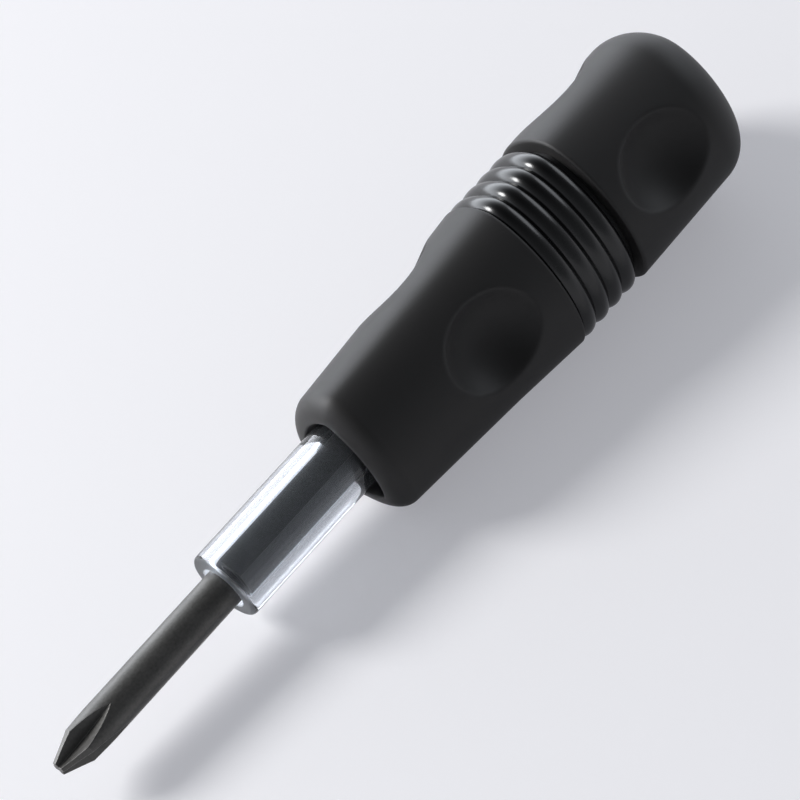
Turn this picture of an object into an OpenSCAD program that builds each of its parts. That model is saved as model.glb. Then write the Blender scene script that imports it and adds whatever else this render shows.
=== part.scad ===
// Pocket screwdriver with a reversible two-ended blade, lying on one of its three flats.
// Every piece is drawn along its own Z axis: zero is the mouth of the grip, the working
// tip is at negative Z and the rear cap at positive Z. lie_down() then lays it along X.

/* [Blade] */
// Diameter of the round blade
blade_d = 6; // [5:0.1:6.8]
// Diameter of the round shank at the slotted end
tail_d = 5.8; // [4.8:0.1:6.6]
// Length of blade that stands out of the clear sleeve
blade_out = 34; // [25:0.5:45]
// How far the blade is turned about its axis, in degrees
blade_turn = 18; // [0:1:90]
// How far the six sides are turned from the flutes, in degrees
hex_turn = 26; // [0:1:60]
// How far the flats of the six-sided middle stand outside the round ends
hex_stand = 0.05; // [0.02:0.01:0.2]
// Length of the six-sided middle of the blade
hex_len = 48; // [44:0.5:54]
// Diameter at the very end of the cross tip
nose_d = 2.2; // [1.8:0.1:2.6]
// Half angle of the cone behind the nose, in degrees
nose_angle = 23.5; // [21:0.5:30]
// Distance from the tip at which the four flutes run out
flute_len = 10.9; // [9:0.1:14]
// Radius left between the flutes at the nose
flute_core = 0.55; // [0.5:0.05:0.9]
// Opening angle of each flute, in degrees
flute_angle = 96; // [88:1:110]
// Width of the snap groove at each end of the six-sided middle
groove_w = 0.9; // [0.6:0.1:1.2]
// Depth of the snap groove
groove_depth = 0.5; // [0.3:0.05:0.8]
// Thickness of the slotted tip at the other end
slot_tip = 1; // [0.8:0.1:1.6]
// Length over which the slotted tip thins down
slot_taper = 11; // [8:0.5:16]

/* [Clear sleeve] */
// Outer diameter of the clear sleeve
sleeve_d = 11.5; // [10.6:0.1:12]
// Length of sleeve that stands out of the mouth
sleeve_out = 25.2; // [18:0.2:30]
// Rounding of the sleeve's front rim
sleeve_rim = 0.8; // [0.4:0.1:1.2]
// Gap between the blade's corners and the sleeve's bore
sleeve_gap = 0.15; // [0.1:0.05:0.4]
// Length of sleeve seated in the core
sleeve_seat = 8; // [6:0.5:9]

/* [Grip] */
// Length of the front grip
grip_len = 38; // [36:0.2:46]
// Mean radius of the grip just behind its rounded nose
grip_front_r = 10.9; // [10.6:0.1:11.8]
// Mean radius of the grip at its rear edge
grip_rear_r = 13.4; // [12.6:0.1:14.4]
// Rounding of the nose around the mouth
nose_r = 3.2; // [2.4:0.1:3.5]
// How far the three lobes stand out of the mean radius
lobe = 1; // [0.6:0.05:1.2]
// Mean radius of the mouth
mouth_r = 7.2; // [7:0.1:7.8]
// How far the three lobes of the mouth stand out
mouth_lobe = 0.9; // [0.5:0.05:1]
// Depth of the mouth, to the front face of the core
mouth_depth = 5; // [3.5:0.1:6]

/* [Dimples] */
// Slight waist of the grip at its dimples, so that it lies on its two ends
grip_waist = 0.15; // [0.1:0.05:0.4]
// Diameter of each finger dimple, measured along the handle
dimple_d = 16.2; // [12:0.2:18]
// Depth of each dimple below the flat
dimple_depth = 3.9; // [2:0.1:4]
// Distance from the mouth to the centres of the front dimples
front_dimple_z = 24.3; // [23:0.1:27]
// Distance from the mouth to the centres of the rear dimples
rear_dimple_z = 62.4; // [61:0.1:65]

/* [Rib band] */
// Number of ribs
rib_count = 4; // [2:1:6]
// Distance from one rib to the next
rib_pitch = 3.05; // [2.4:0.05:3.6]
// Mean radius of the rib crests
rib_r = 13.4; // [12.6:0.1:14.4]
// Depth of the notch between two ribs
notch_depth = 0.75; // [0.7:0.05:1.15]
// Width of the dark gap between the ribs and the rear cap
parting_gap = 1.3; // [0.9:0.1:2]
// Mean radius of the ring at the bottom of that gap
parting_r = 11.4; // [10.4:0.1:12]

/* [Rear cap] */
// Length of the rear cap
cap_len = 28.3; // [26.5:0.1:34]
// Mean radius of the cap at its front edge
cap_front_r = 13.6; // [12.8:0.1:14.4]
// Mean radius of the cap where its end starts to round off
cap_rear_r = 13.6; // [12.6:0.1:14.2]
// How far the lobes stand out there
cap_rear_lobe = 0.6; // [0.4:0.05:1]
// Rounding of the closed end
cap_round = 6.8; // [4:0.1:8]
// Rise of the shallow dome on the closed end
cap_dome = 0.8; // [0.4:0.1:1.4]
// Rounding of the shells' open edges
edge_r = 0.5; // [0.3:0.05:0.8]

/* [Core] */
// Wall of the core tube round the sleeve
core_wall = 1.25; // [1:0.05:1.4]
// Length of core that the cap slides over
spigot_len = 13.6; // [11:0.1:15]
// Wall of the hard liner inside the cap
liner_wall = 1.1; // [0.9:0.05:1.3]
// Gap between the liner and the core, on the radius
slide_gap = 0.06; // [0.03:0.01:0.1]
// Length of the bush with the six-sided hole
bush_len = 11; // [8:0.5:11.4]
// How far the six-sided middle of the blade runs on behind the bush
hex_past_bush = 0.6; // [0.4:0.1:1.5]
// Gap between the blade's flats and the bush
bush_gap = 0.05; // [0.03:0.01:0.1]
// Diameter of the two pins that lock the bush
pin_d = 1.6; // [1.2:0.1:2]
// Thickness of the snap ring along the blade
ring_t = 0.8; // [0.5:0.1:1]
// Width of the snap ring
ring_w = 0.9; // [0.6:0.1:1.2]
// Length of the bush that guides the hidden end of the blade
guide_len = 8; // [5:0.5:10]
// Thickness of the plug that closes the core
plug_t = 3; // [2:0.1:4]
// Section diameter of the rubber ring that holds the cap
seal_d = 0.8; // [0.6:0.1:0.9]
// Width of the key that stops the cap from turning
key_w = 3; // [2:0.1:4]

/* [Hidden] */
$fn = 64;
overrun = 1;
// Points around a lobed outline, and steps along a rounded edge
outline_points = 48;
round_steps = 6;
rib_steps = 6;
flute_steps = 6;
// Clearance between the blade and rings that only steady it
ring_gap = 0.06;
// Running room at the far end of the blade, and between the cap's liner and the core's end
end_room = 0.9;
liner_end_wall = 2;
// Half turn between the pins and the opening of the snap ring, in degrees
ring_opening = 40;
hex_facets = 6;
lobes = 3;
flutes = 4;

core_z = mouth_depth;
sleeve_rear_z = core_z + sleeve_seat;
bush_z = sleeve_rear_z;
bush_rear_z = bush_z + bush_len;

blade_r = blade_d / 2;
tail_r = tail_d / 2;
hex_flat_r = max(blade_r, tail_r) + hex_stand;
hex_r = hex_flat_r / cos(180 / hex_facets);
hex_rear_z = bush_rear_z + hex_past_bush;
hex_front_z = hex_rear_z - hex_len;
tip_z = -sleeve_out - blade_out;
rear_tip_z = hex_rear_z + (hex_front_z - tip_z);
middle_hex_z = (hex_front_z + hex_rear_z) / 2;
nose_len = (blade_r - nose_d / 2) / tan(nose_angle);
groove_r = min(blade_r, tail_r) - groove_depth;
slot_angle = atan((tail_r - slot_tip / 2) / slot_taper);

sleeve_r = sleeve_d / 2;
core_r = sleeve_r + core_wall;
sleeve_bore_r = hex_r + sleeve_gap;
ring_z = hex_rear_z + groove_w / 2 - ring_t / 2;
ring_r = hex_r + ring_gap;
blade_room_r = ring_r + ring_w;
guide_z = (hex_rear_z + rear_tip_z - guide_len) / 2;

band_z = grip_len;
band_rear_z = band_z + rib_count * rib_pitch;
cap_z = band_rear_z + parting_gap;
cap_rear_z = cap_z + cap_len;
core_rear_z = max(cap_z + spigot_len, rear_tip_z + end_room + plug_t);
plug_z = core_rear_z - plug_t;
liner_bore_r = core_r + slide_gap;
liner_r = liner_bore_r + liner_wall;
liner_z = cap_z + edge_r;
liner_rear_z = core_rear_z + end_room + liner_end_wall;
seal_z = core_rear_z - plug_t - seal_d;
seal_r = seal_d / 2;
seal_ring_r = core_r - seal_r;
key_len = spigot_len / 3;
key_top_r = core_r + liner_wall / 2;
key_root_r = core_r - core_wall / 2;
pin_z = (bush_z + bush_rear_z) / 2;
pin_depth = (sleeve_r - hex_r) / 2;
pin_end_r = sqrt(pow(core_r, 2) - pow(pin_d / 2, 2)) - slide_gap;

rest_h = max(max(cap_front_r, rib_r, grip_rear_r) - lobe, cap_rear_r - cap_rear_lobe);
middle_z = (tip_z + cap_rear_z) / 2;

// Distance of a three-lobed outline's tangent from the axis, with a flat at angle zero
function reach(r, a, t) = r - a * cos(lobes * t);

// One ring of that outline: the corners between neighbouring tangents, so that a facet lies on each flat
function lobed(r, a) = [for (i = [0 : outline_points - 1])
    let (step = 360 / outline_points, t = i * step, p = reach(r, a, t), q = reach(r, a, t + step))
    [p * sin(t + step) - q * sin(t), q * cos(t) - p * cos(t + step)] / sin(step)];

// Stations [z, mean radius, lobe height] along a quarter round, from the side (0) to the end (90 degrees)
function quarter(z, r, a, radius, way) = [for (i = [0 : round_steps])
    let (b = i * 90 / round_steps)
    [z + way * radius * sin(b), r - radius * (1 - cos(b)), a]];

// Stations of a row of ribs, each an arc from notch to notch
function ribs(z, r, depth, pitch, count) =
    let (arc_r = (pow(pitch / 2, 2) + pow(depth, 2)) / (2 * depth), half = asin(pitch / 2 / arc_r))
    [for (k = [0 : count - 1], i = [0 : rib_steps])
        if (i < rib_steps || k == count - 1)
            let (b = half * (2 * i / rib_steps - 1))
            [z + pitch * (k + 0.5) + arc_r * sin(b), r - arc_r * (1 - cos(b)), lobe]];

function reversed(list) = [for (i = [len(list) - 1 : -1 : 0]) list[i]];

// A solid through lobed outlines at rising stations
module loft(stations) {
    n = outline_points;
    last = (len(stations) - 1) * n;
    points = [for (s = stations, p = lobed(s[1], s[2])) [p[0], p[1], s[0]]];
    sides = [for (j = [0 : len(stations) - 2], i = [0 : n - 1])
        let (a = j * n + i, b = j * n + (i + 1) % n)
        [a, a + n, b + n, b]];
    front = [[for (i = [0 : n - 1]) i]];
    back = [[for (i = [0 : n - 1]) last + n - 1 - i]];
    polyhedron(points, concat(sides, front, back));
}

// A round tube from z0 to z1
module tube(outer, inner, z0, z1) {
    translate([0, 0, z0])
        difference() {
            cylinder(h = z1 - z0, r = outer);
            translate([0, 0, -overrun])
                cylinder(h = z1 - z0 + 2 * overrun, r = inner);
        }
}

// Round dishes pressed into the three flats, cut by a ball that meets the flat in a circle
module dimples(z, flat_r) {
    ball = (pow(dimple_d / 2, 2) + pow(dimple_depth, 2)) / (2 * dimple_depth);
    for (k = [0 : lobes - 1])
        rotate(k * 360 / lobes)
            translate([flat_r - dimple_depth + ball, 0, z])
                sphere(r = ball);
}

// Soft front grip: lobed cone with a rounded nose, an oversize mouth and three dimples
module front_grip() {
    slope = (grip_rear_r - grip_front_r) / (grip_len - nose_r);
    waist_r = grip_front_r + slope * (front_dimple_z - nose_r) - grip_waist;
    nose = [for (s = reversed(quarter(nose_r, grip_front_r, lobe, nose_r, -1)))
        [s[0], s[1], mouth_lobe + (lobe - mouth_lobe) * s[0] / nose_r]];
    color([0.13, 0.13, 0.14])
        difference() {
            loft(concat(
                nose,
                [[front_dimple_z, waist_r, lobe]],
                quarter(grip_len - edge_r, grip_rear_r, lobe, edge_r, 1)));
            translate([0, 0, -overrun])
                linear_extrude(mouth_depth + 2 * overrun)
                    polygon(lobed(mouth_r, mouth_lobe));
            translate([0, 0, core_z])
                cylinder(h = grip_len, r = core_r);
            dimples(front_dimple_z, waist_r - lobe);
        }
}

// Hard core tube: seats the sleeve, the bush and the guide, and carries every outer piece
module core_tube() {
    color([0.08, 0.08, 0.09])
        difference() {
            translate([0, 0, core_z])
                cylinder(h = core_rear_z - core_z, r = core_r);
            translate([0, 0, core_z - overrun])
                cylinder(h = bush_rear_z - core_z + overrun, r = sleeve_r);
            translate([0, 0, bush_rear_z - overrun])
                cylinder(h = core_rear_z, r = blade_room_r);
            translate([0, 0, guide_z])
                cylinder(h = core_rear_z, r = sleeve_r);
            tube(2 * core_r, core_r - seal_d, seal_z - seal_r, seal_z + seal_r);
            bush_pin_holes();
            key_slot();
        }
}

// The two cross holes that the lock pins sit in
module bush_pin_holes() {
    for (side = [0, 180])
        rotate(side)
            translate([sleeve_r - pin_depth, 0, pin_z])
                rotate([0, 90, 0])
                    cylinder(h = core_r - sleeve_r + pin_depth + overrun, d = pin_d);
}

// The pocket that the key sits in
module key_slot() {
    translate([key_root_r, -key_w / 2, liner_z])
        cube([core_r - key_root_r + overrun, key_w, key_len]);
}

// Glossy band of round ribs with sharp notches between them
module rib_band() {
    color([0.05, 0.05, 0.06])
        difference() {
            loft(ribs(band_z, rib_r, notch_depth, rib_pitch, rib_count));
            translate([0, 0, band_z - overrun])
                cylinder(h = rib_count * rib_pitch + 2 * overrun, r = core_r);
        }
}

// Smaller ring that closes the gap in front of the cap
module parting_ring() {
    color([0.03, 0.03, 0.03])
        difference() {
            translate([0, 0, band_rear_z])
                linear_extrude(parting_gap - slide_gap)
                    polygon(lobed(parting_r, lobe));
            translate([0, 0, band_rear_z - overrun])
                cylinder(h = parting_gap + 2 * overrun, r = core_r);
        }
}

// Clear guide sleeve with a rounded rim, pressed into the core
module clear_sleeve() {
    color([0.85, 0.88, 0.9, 0.4])
        rotate_extrude()
            translate([0, -sleeve_out])
                difference() {
                    translate([sleeve_bore_r, 0])
                        square([sleeve_r - sleeve_bore_r, sleeve_out + sleeve_rear_z]);
                    difference() {
                        translate([sleeve_r - sleeve_rim, -overrun])
                            square([sleeve_rim + overrun, sleeve_rim + overrun]);
                        translate([sleeve_r - sleeve_rim, sleeve_rim])
                            circle(r = sleeve_rim);
                    }
                }
}

// A six-sided bar with its flats at the given radius
module six_sided(h, flat_r) {
    cylinder(h = h, r = flat_r / cos(180 / hex_facets), $fn = hex_facets);
}

// Steel bush whose six-sided hole drives the blade
module drive_bush() {
    color([0.6, 0.6, 0.58])
        difference() {
            translate([0, 0, bush_z])
                cylinder(h = bush_len, r = sleeve_r);
            translate([0, 0, bush_z - overrun])
                rotate(blade_turn + hex_turn)
                    six_sided(bush_len + 2 * overrun, hex_flat_r + bush_gap);
            bush_pin_holes();
        }
}

// Two short pins that lock the bush in the core
module bush_pins() {
    color([0.7, 0.7, 0.7])
        for (side = [0, 180])
            rotate(side)
                translate([sleeve_r - pin_depth, 0, pin_z])
                    rotate([0, 90, 0])
                        cylinder(h = pin_end_r - sleeve_r + pin_depth, d = pin_d);
}

// Open spring ring behind the bush, drawn spread, that snaps into the blade's groove
module snap_ring() {
    color([0.65, 0.66, 0.68])
        difference() {
            tube(blade_room_r, ring_r, ring_z, ring_z + ring_t);
            translate([0, 0, ring_z - overrun])
                linear_extrude(ring_t + 2 * overrun)
                    polygon([[0, 0], [core_r, core_r * tan(ring_opening / 2)],
                        [core_r, -core_r * tan(ring_opening / 2)]]);
        }
}

// Bush that steadies the hidden end of the blade
module rear_guide() {
    color([0.75, 0.73, 0.66])
        tube(sleeve_r, tail_r + ring_gap, guide_z, guide_z + guide_len);
}

// Plug that closes the core behind the blade
module core_plug() {
    color([0.08, 0.08, 0.09])
        translate([0, 0, plug_z])
            cylinder(h = plug_t, r = sleeve_r);
}

// Key in the core that keeps the lobes of the cap in line with the grip
module cap_key() {
    color([0.7, 0.7, 0.7])
        translate([key_root_r, -key_w / 2, liner_z])
            cube([key_top_r - key_root_r, key_w, key_len]);
}

// Rubber ring that holds the cap by friction
module cap_seal() {
    color([0.1, 0.1, 0.1])
        translate([0, 0, seal_z])
            rotate_extrude()
                translate([seal_ring_r, 0])
                    circle(r = seal_r);
}

// Soft rear cap with a rounded end and three dimples, rounder at its end than at its open edge
module rear_cap() {
    end_z = cap_rear_z - cap_dome - cap_round;
    share = (rear_dimple_z - cap_z) / (end_z - cap_z);
    dimple_flat = cap_front_r - lobe + share * (cap_rear_r - cap_rear_lobe - cap_front_r + lobe);
    color([0.13, 0.13, 0.14])
        difference() {
            loft(concat(
                reversed(quarter(cap_z + edge_r, cap_front_r, lobe, edge_r, -1)),
                quarter(end_z, cap_rear_r, cap_rear_lobe, cap_round, 1),
                [[cap_rear_z, (cap_rear_r - cap_round) / 2, cap_rear_lobe / 2]]));
            translate([0, 0, cap_z - overrun])
                cylinder(h = liner_rear_z - cap_z + overrun, r = liner_r);
            dimples(rear_dimple_z, dimple_flat);
        }
}

// Hard liner of the cap, with a closed end and a slot for the key
module cap_liner() {
    color([0.08, 0.08, 0.09])
        difference() {
            translate([0, 0, liner_z])
                cylinder(h = liner_rear_z - liner_z, r = liner_r);
            translate([0, 0, liner_z - overrun])
                cylinder(h = core_rear_z + end_room - liner_z + overrun, r = liner_bore_r);
            translate([0, -key_w / 2 - slide_gap, liner_z - overrun])
                cube([key_top_r + slide_gap, key_w + 2 * slide_gap, key_len + overrun + slide_gap]);
        }
}

// Two-ended blade: cross tip, round shank, six-sided middle, round shank, slotted tip
module blade() {
    color([0.2, 0.2, 0.21])
        rotate(blade_turn)
            difference() {
                union() {
                    rotate_extrude()
                        polygon([[0, tip_z], [nose_d / 2, tip_z], [blade_r, tip_z + nose_len],
                            [blade_r, middle_hex_z], [tail_r, middle_hex_z], [tail_r, rear_tip_z],
                            [0, rear_tip_z]]);
                    translate([0, 0, hex_front_z])
                        rotate(hex_turn)
                            six_sided(hex_len, hex_flat_r);
                }
                for (k = [0 : flutes - 1])
                    rotate(k * 360 / flutes)
                        flute();
                for (z = [hex_front_z - groove_w, hex_rear_z])
                    snap_groove(z);
                for (side = [0, 180])
                    rotate(side)
                        slot_face();
            }
}

// One flute of the cross tip: a V-shaped cut whose root climbs out of the shank in a curve
module flute() {
    half_w = blade_d * tan(flute_angle / 2);
    shares = [for (i = [0 : flute_steps + 1]) i / flute_steps];
    roots = concat([[-overrun, flute_core]], [for (share = shares)
        [share * flute_len, flute_core + (blade_r - flute_core) * share * share]]);
    points = [for (root = roots, side = [[0, 0], [blade_d, -half_w], [blade_d, half_w]])
        [root[1] + side[0], side[1], tip_z + root[0]]];
    last = len(points) - 3;
    sides = [for (j = [0 : len(roots) - 2], i = [0 : 2])
        let (a = 3 * j + i, b = 3 * j + (i + 1) % 3)
        [a, a + 3, b + 3, b]];
    polyhedron(points, concat(sides, [[0, 1, 2]], [[last + 2, last + 1, last]]));
}

// One groove that the snap ring falls into
module snap_groove(z) {
    tube(blade_d, groove_r, z, z + groove_w);
}

// One sloping face of the slotted tip
module slot_face() {
    translate([slot_tip / 2, -blade_d, rear_tip_z])
        rotate([0, -slot_angle, 0])
            translate([0, 0, -slot_taper * 2])
                cube([blade_d, blade_d * 2, slot_taper * 3]);
}

// Lays a piece along X, on the flat that faces down
module lie_down() {
    translate([-middle_z, 0, rest_h])
        rotate([0, 90, 0])
            children();
}

lie_down() front_grip();
lie_down() core_tube();
lie_down() rib_band();
lie_down() parting_ring();
lie_down() clear_sleeve();
lie_down() drive_bush();
lie_down() bush_pins();
lie_down() snap_ring();
lie_down() rear_guide();
lie_down() core_plug();
lie_down() cap_key();
lie_down() cap_seal();
lie_down() rear_cap();
lie_down() cap_liner();
lie_down() blade();
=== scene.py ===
"""Finish of a pocket screwdriver with a reversible blade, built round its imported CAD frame.

Lengths are in millimetres until a mesh is made, and places come from the frame's own boxes.
The tool lies along X with its working tip at the low end, on one of its three flats.
"""

import bpy
import numpy as np
from mathutils import Matrix, Vector


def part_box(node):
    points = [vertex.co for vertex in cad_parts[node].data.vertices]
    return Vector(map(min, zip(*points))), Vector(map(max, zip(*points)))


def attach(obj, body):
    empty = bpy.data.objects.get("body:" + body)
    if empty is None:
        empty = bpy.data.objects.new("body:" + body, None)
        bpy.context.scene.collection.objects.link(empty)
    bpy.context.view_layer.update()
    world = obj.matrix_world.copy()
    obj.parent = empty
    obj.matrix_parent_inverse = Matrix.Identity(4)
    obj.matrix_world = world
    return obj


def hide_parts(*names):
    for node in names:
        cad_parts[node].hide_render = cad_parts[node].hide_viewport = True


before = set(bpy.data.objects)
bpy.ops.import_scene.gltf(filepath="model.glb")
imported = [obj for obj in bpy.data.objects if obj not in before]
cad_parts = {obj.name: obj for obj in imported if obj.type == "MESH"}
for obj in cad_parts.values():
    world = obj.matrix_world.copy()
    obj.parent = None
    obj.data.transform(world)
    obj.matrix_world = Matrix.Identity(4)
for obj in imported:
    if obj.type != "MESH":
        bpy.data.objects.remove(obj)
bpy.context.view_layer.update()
MM = 0.001


# Blade: a six-sided steel bar turned round at both ends, with a milled cross tip in front
# and a slotted tip behind. Black oxide leaves it dull, with rubbed edges at the tip.
# It plugs into the bush through the clear sleeve.
class Value:
    """A number that changes over a surface: sums, differences and products add Math nodes."""

    def __init__(self, graph, socket):
        self.graph = graph
        self.socket = socket

    def _math(self, operation, first, second):
        return self.graph.node("Math", {"operation": operation}, first, second)

    def __add__(self, other):
        return self._math("ADD", self, other)

    def __rsub__(self, other):
        return self._math("SUBTRACT", other, self)

    def __mul__(self, other):
        return self._math("MULTIPLY", self, other)

    __radd__ = __add__
    __rmul__ = __mul__


class Graph:
    """The nodes of a material or a room."""

    def __init__(self, tree):
        self.tree = tree

    def put(self, socket, value):
        """Links a value to a socket, or sets the socket."""
        if isinstance(value, Value):
            self.tree.links.new(value.socket, socket)
        else:
            socket.default_value = value

    def node(self, kind, settings, *by_place, out=0, **by_name):
        """Makes a node: its settings first, then its sockets by place or by name."""
        made = self.tree.nodes.new("ShaderNode" + kind)
        for key, setting in settings.items():
            setattr(made, key, setting)
        for place, value in enumerate(by_place):
            self.put(made.inputs[place], value)
        for name, value in by_name.items():
            self.put(made.inputs[name.replace("_", " ")], value)
        return Value(self, made.outputs[out])


class Finish(Graph):
    """A material with one Principled shader, whose fixed sockets are set by name."""

    def __init__(self, name, **sockets):
        self.material = bpy.data.materials.new(name)
        self.material.use_nodes = True
        super().__init__(self.material.node_tree)
        self.shader = self.tree.nodes["Principled BSDF"]
        for socket, value in sockets.items():
            self.drive(socket.replace("_", " "), value)

    def drive(self, socket, value):
        """Sets or links one socket of the shader."""
        self.put(self.shader.inputs[socket], value)

    def here(self):
        """Object coordinates of the piece, in metres."""
        return self.node("TexCoord", {}, out="Object")

    def stretched(self, along, across):
        """Coordinates in cells per metre along the tool and across it."""
        return self.node("Mapping", {}, Vector=self.here(), Scale=(along, across, across))

    def speckle(self, along, across, detail=3.0):
        """Noise from 0 to 1 with that many cells per metre along the tool and across it."""
        return self.node("TexNoise", {}, Vector=self.stretched(along, across), Scale=1.0,
                         Detail=detail, out="Fac")

    def bump(self, height, strength, depth):
        """Raises the surface by a height from 0 to 1, scaled to depth in metres."""
        self.drive("Normal", self.node("Bump", {}, Strength=strength, Distance=depth, Height=height))

    def tint(self, factor, low, high):
        """A colour between two, by a factor from 0 to 1."""
        mixed = self.node("Mix", {"data_type": "RGBA"}, out=2)
        mix_node = mixed.socket.node
        self.put(mix_node.inputs[0], factor)
        for place, colour in ((6, low), (7, high)):
            self.put(mix_node.inputs[place], colour if isinstance(colour, Value) else (*colour, 1.0))
        return mixed

    def wear(self, *nodes):
        """Puts this finish on CAD nodes that keep their own shape."""
        for name in nodes:
            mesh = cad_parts[name].data
            mesh.materials.clear()
            mesh.materials.append(self.material)


BLADE_R = 3.0
BLADE_EDGE = 0.16
BLADE_RUB = 10.0
oxide = Finish("black_oxide", Metallic=0.75)
oxide_streak = oxide.speckle(90.0, 1600.0)
oxide_cloud = oxide.speckle(260.0, 260.0)
oxide_grain = oxide.speckle(2500.0, 2500.0)
eased = oxide.node("Bevel", {"samples": 6}, Radius=BLADE_EDGE * MM)
flat_way = oxide.node("NewGeometry", {}, out="Normal")
sharp = 1.0 - oxide.node("VectorMath", {"operation": "DOT_PRODUCT"}, eased, flat_way, out="Value")
rubbed = oxide.node("Math", {"operation": "MULTIPLY", "use_clamp": True}, sharp, BLADE_RUB * oxide_grain)
oxide_base = oxide.tint(0.4 * oxide_cloud + 0.6 * oxide_grain, (0.050, 0.049, 0.047), (0.165, 0.161, 0.155))
oxide.drive("Base Color", oxide.tint(rubbed, oxide_base, (0.30, 0.29, 0.28)))
oxide.drive("Roughness", 0.28 + 0.12 * oxide_streak + 0.20 * oxide_grain)
oxide_height = oxide_streak + oxide_grain
oxide_bump = oxide.node("Bump", {}, Strength=0.3, Distance=0.03 * MM, Height=oxide_height, Normal=eased)
oxide.drive("Normal", oxide_bump)
oxide.wear("blade")

# Drive bush, its two lock pins, the snap ring and the cap's key: plain turned steel, pressed
# into the core. They are inside the handle and show only with the blade or the cap drawn off.
steel = Finish("turned_steel", Metallic=1.0)
steel_turning = steel.speckle(9000.0, 60.0)
steel.drive("Base Color", steel.tint(steel_turning, (0.42, 0.42, 0.41), (0.58, 0.58, 0.57)))
steel.drive("Roughness", 0.24 + 0.18 * steel_turning)
steel.bump(steel_turning, 0.3, 0.01 * MM)
steel.wear("drive_bush", "bush_pins", "snap_ring", "cap_key")

# Rear guide: a natural nylon bush pressed into the core.
# It steadies the hidden end of the blade.
nylon = Finish("natural_nylon", Roughness=0.45, Subsurface_Weight=0.2)
nylon_cloud = nylon.speckle(400.0, 400.0)
nylon.drive("Base Color", nylon.tint(nylon_cloud, (0.56, 0.54, 0.46), (0.66, 0.64, 0.56)))
nylon.bump(nylon_cloud, 0.2, 0.02 * MM)
nylon.wear("rear_guide")

# Clear sleeve: a polished tube of clear plastic with a rounded rim, pressed into the core.
# It guides the blade, which shows through it; its cut front end is frosted.
SLEEVE_BORE_R = 3.67
SLEEVE_RIM = 0.8
SLEEVE_FROST = 0.35
SLEEVE_CELLS = 160
CREASE = 40.0


def revolve(profile, cells):
    """Points of a closed profile of (x, radius) turned about the tool's axis."""
    turn = np.linspace(0.0, 2.0 * np.pi, cells, endpoint=False)
    x, radius = np.asarray(profile, float).T[:, :, None]
    y = radius * np.sin(turn)
    z = axis_z - radius * np.cos(turn)
    return np.stack([x + 0.0 * turn, y, z], axis=-1)


def arc(centre, radii, start, stop, steps=12):
    """Points of an elliptic arc about a centre, between two angles in degrees."""
    angle = np.radians(np.linspace(start, stop, steps + 1))
    return np.stack([centre[0] + radii[0] * np.cos(angle), centre[1] + radii[1] * np.sin(angle)], axis=-1)


def skin(name, points, finish, body, node, poles=False):
    """A closed mesh over a grid of points (rows along the piece, columns round it), in millimetres.

    Rows join end to start, unless the grid runs from one pole to another: then each end is a fan.
    """
    rows, columns = points.shape[:2]
    index = np.arange(rows * columns).reshape(rows, columns)
    lower, upper = (index[:-1], index[1:]) if poles else (index, np.roll(index, -1, axis=0))
    quads = np.stack([lower, upper, np.roll(upper, -1, 1), np.roll(lower, -1, 1)], axis=-1).reshape(-1, 4)
    corners = points.reshape(-1, 3)
    faces = quads.tolist()
    if poles:
        corners = np.concatenate([corners, points[[0, -1]].mean(axis=1)])
        first, last = len(corners) - 2, len(corners) - 1
        fan = np.full(columns, first)
        faces += np.stack([fan, index[0], np.roll(index[0], -1)], axis=-1).tolist()
        faces += np.stack([fan + last - first, np.roll(index[-1], -1), index[-1]], axis=-1).tolist()
    mesh = bpy.data.meshes.new(name)
    mesh.from_pydata((corners * MM).tolist(), [], faces)
    mesh.polygons.foreach_set("use_smooth", np.ones(len(faces), bool))
    mesh.set_sharp_from_angle(angle=np.radians(CREASE))
    mesh.materials.append(finish.material)
    piece = bpy.data.objects.new(name, mesh)
    bpy.context.scene.collection.objects.link(piece)
    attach(piece, body)
    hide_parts(node)


def box_mm(node):
    """Lowest and highest corner of a CAD node, in millimetres."""
    low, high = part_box(node)
    return np.array(low) / MM, np.array(high) / MM


sleeve_low, sleeve_high = box_mm("clear_sleeve")
axis_z = (sleeve_low[2] + sleeve_high[2]) / 2.0
sleeve_r = (sleeve_high[1] - sleeve_low[1]) / 2.0
sleeve_profile = np.concatenate([
    arc((sleeve_low[0] + SLEEVE_RIM, sleeve_r - SLEEVE_RIM), (SLEEVE_RIM, SLEEVE_RIM), 180.0, 90.0),
    [(sleeve_high[0], sleeve_r), (sleeve_high[0], SLEEVE_BORE_R), (sleeve_low[0], SLEEVE_BORE_R)],
])
clear = Finish("clear_plastic", Transmission_Weight=0.98, IOR=1.49)
clear_cloud = clear.speckle(60.0, 120.0, 1.0)
clear.drive("Base Color", clear.tint(clear_cloud, (0.85, 0.89, 0.94), (0.87, 0.905, 0.95)))
clear_along = clear.node("SeparateXYZ", {}, clear.here(), out="X")
frosted = clear.node("Math", {"operation": "LESS_THAN"}, clear_along, (sleeve_low[0] + SLEEVE_FROST) * MM)
clear.drive("Roughness", 0.02 + 0.45 * frosted)
sleeve_points = revolve(sleeve_profile, SLEEVE_CELLS)[::-1]
skin("clear_sleeve_tube", sleeve_points, clear, "handle", "clear_sleeve")

# Core tube, its plug, the cap's liner and the parting ring: hard black moulded plastic.
# The core seats the sleeve and carries the grip, the ribs and the cap; the parting ring fills
# the bottom of the gap in front of the cap.
hard = Finish("hard_black", Roughness=0.38)
hard_grain = hard.speckle(1500.0, 1500.0)
hard.drive("Base Color", hard.tint(hard_grain, (0.008, 0.008, 0.009), (0.014, 0.014, 0.015)))
hard.bump(hard_grain, 0.2, 0.01 * MM)
hard.wear("core_tube", "core_plug", "cap_liner", "parting_ring")

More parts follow.
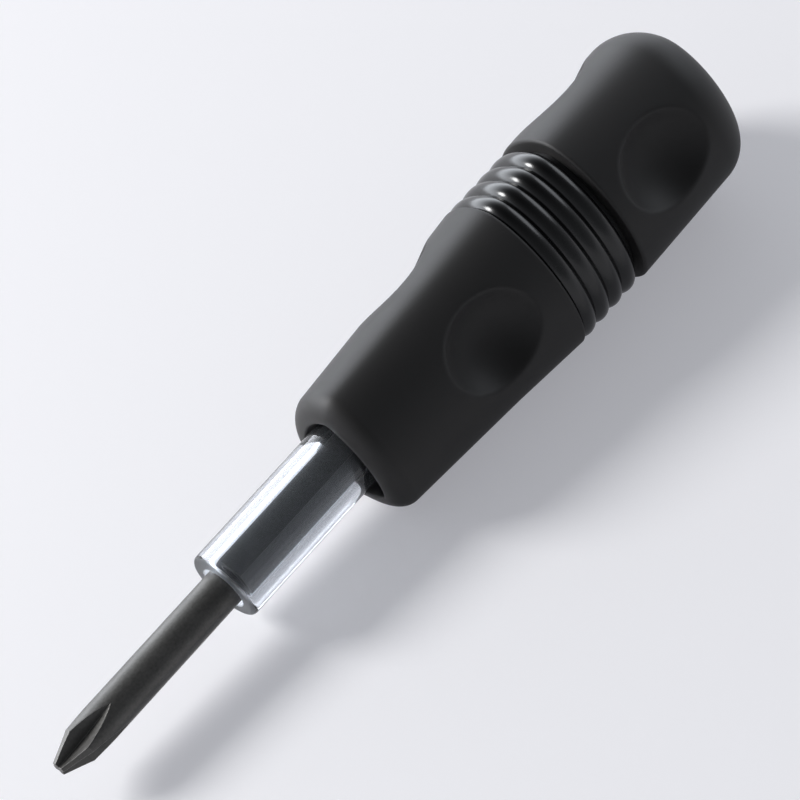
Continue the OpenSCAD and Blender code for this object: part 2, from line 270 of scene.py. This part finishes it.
# Front grip: a soft-touch moulded shell over the core, three-lobed, with a rounded nose round
# a wide lobed mouth and a finger dimple in each flat.
LOBES = 3
RING_CELLS = 360
DIMPLE_D = 16.2
DIMPLE_DEPTH = 3.9
DIMPLE_SOFT = 0.2
NOSE_LENGTH = 3.2
NOSE_STEPS = 24
LIP = 0.35
MOUTH_R = 7.2
MOUTH_LOBE = 0.9
MOUTH_DEPTH = 5.0
GRIP_FRONT_R = 10.9
FRONT_DIMPLE = 24.3
GRIP_WAIST = 0.15
SHELL_EDGE = 0.5
grip_low, grip_high = box_mm("front_grip")
core_r = (box_mm("core_tube")[1] - box_mm("core_tube")[0])[1] / 2.0
grip_rear_r = (grip_high[1] - grip_low[1]) / 2.0
lobe = grip_high[2] - axis_z - grip_rear_r


def lobed(stations):
    """Points of lobed rings at stations of (x, mean radius, lobe height).

    A ring's tangent at angle t lies at radius - lobe * cos(3 t) from the axis, so that a flat
    faces down and a lobe points up. The point of touch follows from the tangent and its slope.
    """
    t = np.linspace(0.0, 2.0 * np.pi, RING_CELLS, endpoint=False)
    x, radius, height = np.asarray(stations, float).T[:, :, None]
    reach = radius - height * np.cos(LOBES * t)
    slide = LOBES * height * np.sin(LOBES * t)
    down = reach * np.cos(t) - slide * np.sin(t)
    side = reach * np.sin(t) + slide * np.cos(t)
    return np.stack([x + 0.0 * t, side, axis_z - down], axis=-1)


def dimpled(points, x, flat_r):
    """Presses a round dish into each flat: no point stays above a ball sunk into the flat.

    The lower of the surface and the ball is taken along the flat's own direction, with a soft edge.
    """
    ball = ((DIMPLE_D / 2.0) ** 2 + DIMPLE_DEPTH ** 2) / (2.0 * DIMPLE_DEPTH)
    for turn in np.arange(LOBES) * 2.0 * np.pi / LOBES:
        out = np.array([0.0, np.sin(turn), -np.cos(turn)])
        centre = np.array([x, 0.0, axis_z]) + (flat_r - DIMPLE_DEPTH + ball) * out
        offset = points - centre
        height = offset @ out
        spread = (offset ** 2).sum(axis=-1) - height ** 2
        dish = -np.sqrt(np.clip(ball ** 2 - spread, 0.0, None))
        lower = -DIMPLE_SOFT * np.logaddexp(-height / DIMPLE_SOFT, -dish / DIMPLE_SOFT)
        points = points + (lower - height)[..., None] * out
    return points


def run(start, stop, steps):
    """Stations in a straight run between two (x, mean radius, lobe height), without the last."""
    return np.linspace(start, stop, steps, endpoint=False)


def rounded(centre, radii, start, stop, height, steps=10):
    """Stations round an arc, all with one lobe height."""
    places = arc(centre, radii, start, stop, steps)
    return np.column_stack([places, np.full(len(places), height)])


mouth_x, grip_end = grip_low[0], grip_high[0]
nose_crest = MOUTH_R + LIP
nose_radii = (NOSE_LENGTH, GRIP_FRONT_R - nose_crest)
nose = rounded((mouth_x + NOSE_LENGTH, nose_crest), nose_radii, 90.0, 180.0, lobe, NOSE_STEPS)
nose[:, 2] = MOUTH_LOBE + (lobe - MOUTH_LOBE) * (nose[:, 0] - mouth_x) / NOSE_LENGTH
lip = rounded((mouth_x + LIP, nose_crest), (LIP, LIP), 180.0, 270.0, MOUTH_LOBE)[1:]
edge_radii = (SHELL_EDGE, SHELL_EDGE)
rear_edge = rounded((grip_end - SHELL_EDGE, grip_rear_r - SHELL_EDGE), edge_radii, 0.0, 90.0, lobe)
seat_x = mouth_x + MOUTH_DEPTH
grip_slope = (grip_rear_r - GRIP_FRONT_R) / (grip_end - mouth_x - NOSE_LENGTH)
waist_r = GRIP_FRONT_R + grip_slope * (FRONT_DIMPLE - NOSE_LENGTH) - GRIP_WAIST
waist = (mouth_x + FRONT_DIMPLE, waist_r, lobe)
grip_stations = np.concatenate([
    run((grip_end, core_r, 0.0), rear_edge[0], 6),
    rear_edge[:-1],
    run(rear_edge[-1], waist, 70),
    run(waist, nose[0], 100),
    nose,
    lip,
    run((seat_x - LIP, MOUTH_R, MOUTH_LOBE), (seat_x, MOUTH_R, MOUTH_LOBE), 2),
    run((seat_x, MOUTH_R, MOUTH_LOBE), (seat_x, core_r, 0.0), 4),
    run((seat_x, core_r, 0.0), (grip_end, core_r, 0.0), 12),
])
soft = Finish("soft_touch", Sheen_Weight=0.12, Sheen_Roughness=0.35)
soft_grain = soft.speckle(2600.0, 2600.0)
soft_cloud = soft.speckle(120.0, 120.0)
soft.drive("Base Color", soft.tint(soft_cloud, (0.0082, 0.0072, 0.0072), (0.0104, 0.0092, 0.0092)))
soft.drive("Roughness", 0.54 + 0.10 * soft_cloud)
soft.bump(soft_grain, 0.12, 0.03 * MM)
grip_points = dimpled(lobed(grip_stations), mouth_x + FRONT_DIMPLE, waist_r - lobe)
skin("front_grip_shell", grip_points, soft, "handle", "front_grip")

# Rib band: glossy moulded ribs, half round with sharp notches between them, on the core
# between the grip and the cap.
RIBS = 4
NOTCH = 0.75
RIB_STEPS = 20
band_low, band_high = box_mm("rib_band")
band_r = (band_high[1] - band_low[1]) / 2.0
pitch = (band_high[0] - band_low[0]) / RIBS
rib_arc = ((pitch / 2.0) ** 2 + NOTCH ** 2) / (2.0 * NOTCH)
rib_angle = np.arcsin(pitch / 2.0 / rib_arc) * np.linspace(1.0, -1.0, RIB_STEPS, endpoint=False)
rib_middle = band_low[0] + pitch * (np.arange(RIBS)[::-1, None] + 0.5)
rib_x = rib_middle + rib_arc * np.sin(rib_angle)
rib_radius = band_r - rib_arc * (1.0 - np.cos(rib_angle)) + 0.0 * rib_middle
rib_rows = np.column_stack([rib_x.ravel(), rib_radius.ravel(), np.full(rib_x.size, lobe)])
band_stations = np.concatenate([
    run((band_high[0], core_r, 0.0), rib_rows[0], 4),
    rib_rows,
    run((band_low[0], band_r - NOTCH, lobe), (band_low[0], core_r, 0.0), 4),
    run((band_low[0], core_r, 0.0), (band_high[0], core_r, 0.0), 4),
])
gloss = Finish("rib_gloss")
gloss_cloud = gloss.speckle(300.0, 300.0)
gloss.drive("Base Color", gloss.tint(gloss_cloud, (0.003, 0.003, 0.0033), (0.005, 0.005, 0.0055)))
gloss.drive("Roughness", 0.18 + 0.08 * gloss_cloud)
gloss.bump(gloss.speckle(1800.0, 1800.0), 0.1, 0.01 * MM)
skin("rib_band_ring", lobed(band_stations), gloss, "handle", "rib_band")

# Rear cap: the same soft-touch shell over a hard liner, with a rounded end. It pushes over the
# core's spigot, keyed so that its lobes line up, and a rubber ring holds it.
CAP_ROUND = 6.8
CAP_DOME = 0.8
CAP_REAR_R = 13.6
CAP_REAR_LOBE = 0.6
REAR_DIMPLE = 62.4
POLE_R = 0.05
CAP_STEPS = 30
DOME_STEPS = 24
cap_low, cap_high = box_mm("rear_cap")
liner_low, liner_high = box_mm("cap_liner")
cap_front_r = (cap_high[1] - cap_low[1]) / 2.0
liner_r = (liner_high[1] - liner_low[1]) / 2.0
end_x = cap_high[0] - CAP_DOME - CAP_ROUND
cap_edge = rounded((cap_low[0] + SHELL_EDGE, cap_front_r - SHELL_EDGE), edge_radii, 180.0, 90.0, lobe)
dome_r = CAP_REAR_R - CAP_ROUND
cap_end = rounded((end_x, dome_r), (CAP_ROUND, CAP_ROUND), 90.0, 0.0, CAP_REAR_LOBE, CAP_STEPS)
dome_share = np.linspace(1.0, 0.0, DOME_STEPS)
dome = np.column_stack([
    cap_high[0] - CAP_DOME * dome_share ** 2,
    POLE_R + (dome_r - POLE_R) * dome_share,
    CAP_REAR_LOBE * dome_share ** 2,
])
cap_stations = np.concatenate([
    [(liner_high[0], POLE_R, 0.0)],
    run((liner_high[0], liner_r, 0.0), (cap_low[0], liner_r, 0.0), 10),
    run((cap_low[0], liner_r, 0.0), cap_edge[0], 6),
    cap_edge[:-1],
    run(cap_edge[-1], cap_end[0], 120),
    cap_end[:-1],
    dome,
])
cap_share = (mouth_x + REAR_DIMPLE - cap_low[0]) / (end_x - cap_low[0])
cap_flat = cap_front_r - lobe + cap_share * (CAP_REAR_R - CAP_REAR_LOBE - cap_front_r + lobe)
cap_points = dimpled(lobed(cap_stations), mouth_x + REAR_DIMPLE, cap_flat)
skin("rear_cap_shell", cap_points[::-1], soft, "cap", "rear_cap", poles=True)

# Cap seal: a rubber ring in a groove of the core's spigot.
# The cap slides over it and is held by its friction.
rubber = Finish("seal_rubber", Roughness=0.6)
rubber_cloud = rubber.speckle(800.0, 800.0)
rubber.drive("Base Color", rubber.tint(rubber_cloud, (0.008, 0.008, 0.008), (0.014, 0.014, 0.014)))
rubber.bump(rubber_cloud, 0.2, 0.02 * MM)
rubber.wear("cap_seal")

# Stage: a pale table. The tool settles nose down on the cone of its grip, so the table leans
# under it: it meets the grip's rear edge and leaves room for the blade when it is drawn out.
FLOOR_HALF = 3000.0
FLOOR_DROP = 0.1
DRAWN_OUT = 87.0
TABLE_COLOUR = (0.70, 0.693, 0.703)
TABLE_LIFT = (0.29, 0.292, 0.315)
TABLE_MIRRORED = 0.7
drawn_tip = box_mm("blade")[0][0] - DRAWN_OUT
table_touch = axis_z - grip_rear_r + lobe - FLOOR_DROP
table_slope = (axis_z - BLADE_R - 2.0 * FLOOR_DROP - table_touch) / (grip_end - drawn_tip)
corners = np.array([(-1.0, -1.0), (1.0, -1.0), (1.0, 1.0), (-1.0, 1.0)]) * FLOOR_HALF
table_z = table_touch - table_slope * (corners[:, 0] - grip_end)
table_mesh = bpy.data.meshes.new("table")
table_mesh.from_pydata((np.column_stack([corners, table_z]) * MM).tolist(), [], [(0, 1, 2, 3)])
table_finish = Finish("table_white", Roughness=0.6)
table_finish.drive("Base Color", (*TABLE_COLOUR, 1.0))
seen = table_finish.node("LightPath", {}, out="Is Camera Ray")
seen_through = table_finish.node("LightPath", {}, out="Is Transmission Ray")
mirrored = table_finish.node("LightPath", {}, out="Is Glossy Ray")
table_shown = seen + seen_through + TABLE_MIRRORED * mirrored
table_finish.drive("Emission Color", table_finish.tint(table_shown, (0.0, 0.0, 0.0), TABLE_LIFT))
table_finish.drive("Emission Strength", 1.0)
table_mesh.materials.append(table_finish.material)
table = bpy.data.objects.new("table", table_mesh)
bpy.context.scene.collection.objects.link(table)

# Camera: a long lens at the photograph's viewing angle, rolled so that the tool rises to the
# right. It aims a little behind the grip's mouth.
CAMERA_AZIMUTH = -31.5
CAMERA_ELEVATION = 52.0
TOOL_RISE = 47.7
CAMERA_DISTANCE = 491.0
CAMERA_LENS = 155.9
CAMERA_NEAR = 10.0
AIM_BEHIND_MOUTH = 12.5
AIM_OFFSET = (0.42, -0.38)
azimuth, elevation = np.radians([CAMERA_AZIMUTH, CAMERA_ELEVATION])
back_level = np.cos(elevation)
back = Vector((np.sin(azimuth) * back_level, -np.cos(azimuth) * back_level, np.sin(elevation)))
level = back.to_track_quat("Z", "Y").to_matrix()
tool_seen = level.inverted() @ Vector((1.0, 0.0, 0.0))
roll = np.radians(TOOL_RISE) - np.arctan2(tool_seen.y, tool_seen.x)
camera_turn = level @ Matrix.Rotation(-roll, 3, "Z")
camera = bpy.data.objects.new("camera", bpy.data.cameras.new("camera"))
camera.data.lens = CAMERA_LENS
camera.data.clip_start = CAMERA_NEAR * MM
aim = Vector((mouth_x + AIM_BEHIND_MOUTH, 0.0, axis_z)) + camera_turn @ Vector((*AIM_OFFSET, 0.0))
camera.matrix_world = Matrix.Translation((aim + back * CAMERA_DISTANCE) * MM) @ camera_turn.to_4x4()
bpy.context.scene.collection.objects.link(camera)
bpy.context.scene.camera = camera

# Light: a soft lamp from the left of the picture, a card behind the cap that shows only in
# reflections, and a room that is pale low down on the left and dim overhead. Reflections also
# show the glow of a window along the left side.
LAMPS = (
    ("key_lamp", (-0.40, 0.69, 0.60), (0.42, 0.42), 13.0, True),
    ("rear_card", (0.88, -0.15, 0.45), (0.9, 0.6), 3.0, False),
)
LAMP_DISTANCE = 1.2
ROOM_COLOUR = (0.90, 0.94, 1.0)
ROOM_TOP = 0.05
ROOM_LOW = 1.0
ROOM_MIDDLE = 0.70
ROOM_TURN = 0.38
WINDOW_GLOW = 5.5
for lamp_name, lamp_toward, lamp_size, lamp_power, lamp_lights in LAMPS:
    lamp = bpy.data.objects.new(lamp_name, bpy.data.lights.new(lamp_name, "AREA"))
    lamp.data.shape = "ELLIPSE"
    lamp.data.size, lamp.data.size_y = lamp_size
    lamp.data.energy = lamp_power
    lamp.data.color = (1.0, 1.0, 1.0) if lamp_lights else ROOM_COLOUR
    lamp.visible_diffuse = lamp_lights
    lamp.visible_transmission = lamp_lights
    toward = Vector(lamp_toward).normalized()
    lamp_turn = toward.to_track_quat("Z", "Y").to_matrix().to_4x4()
    lamp.matrix_world = Matrix.Translation(toward * LAMP_DISTANCE) @ lamp_turn
    bpy.context.scene.collection.objects.link(lamp)
room = bpy.data.worlds.new("room")
room.use_nodes = True
sky = Graph(room.node_tree)
sky_way = sky.node("TexCoord", {}, out="Generated")
sky_side = sky.node("SeparateXYZ", {}, sky_way, out="Y")
sky_rise = sky.node("SeparateXYZ", {}, sky_way, out="Z")
sky_level = (ROOM_LOW - (ROOM_LOW - ROOM_TOP) * sky_rise) * (ROOM_MIDDLE + ROOM_TURN * sky_side)
reflected = sky.node("LightPath", {}, out="Is Glossy Ray")
glow_side = sky.node("Math", {"operation": "MAXIMUM"}, sky_side, 0.0)
glow_low = 1.0 - sky_rise * sky_rise
glow_lower = glow_low * glow_low
glow = WINDOW_GLOW * reflected * glow_side * glow_lower * glow_lower
backdrop = room.node_tree.nodes["Background"]
sky.put(backdrop.inputs["Color"], (*ROOM_COLOUR, 1.0))
sky.put(backdrop.inputs["Strength"], sky_level + glow)
bpy.context.scene.world = room
bpy.context.scene.view_settings.view_transform = "Standard"
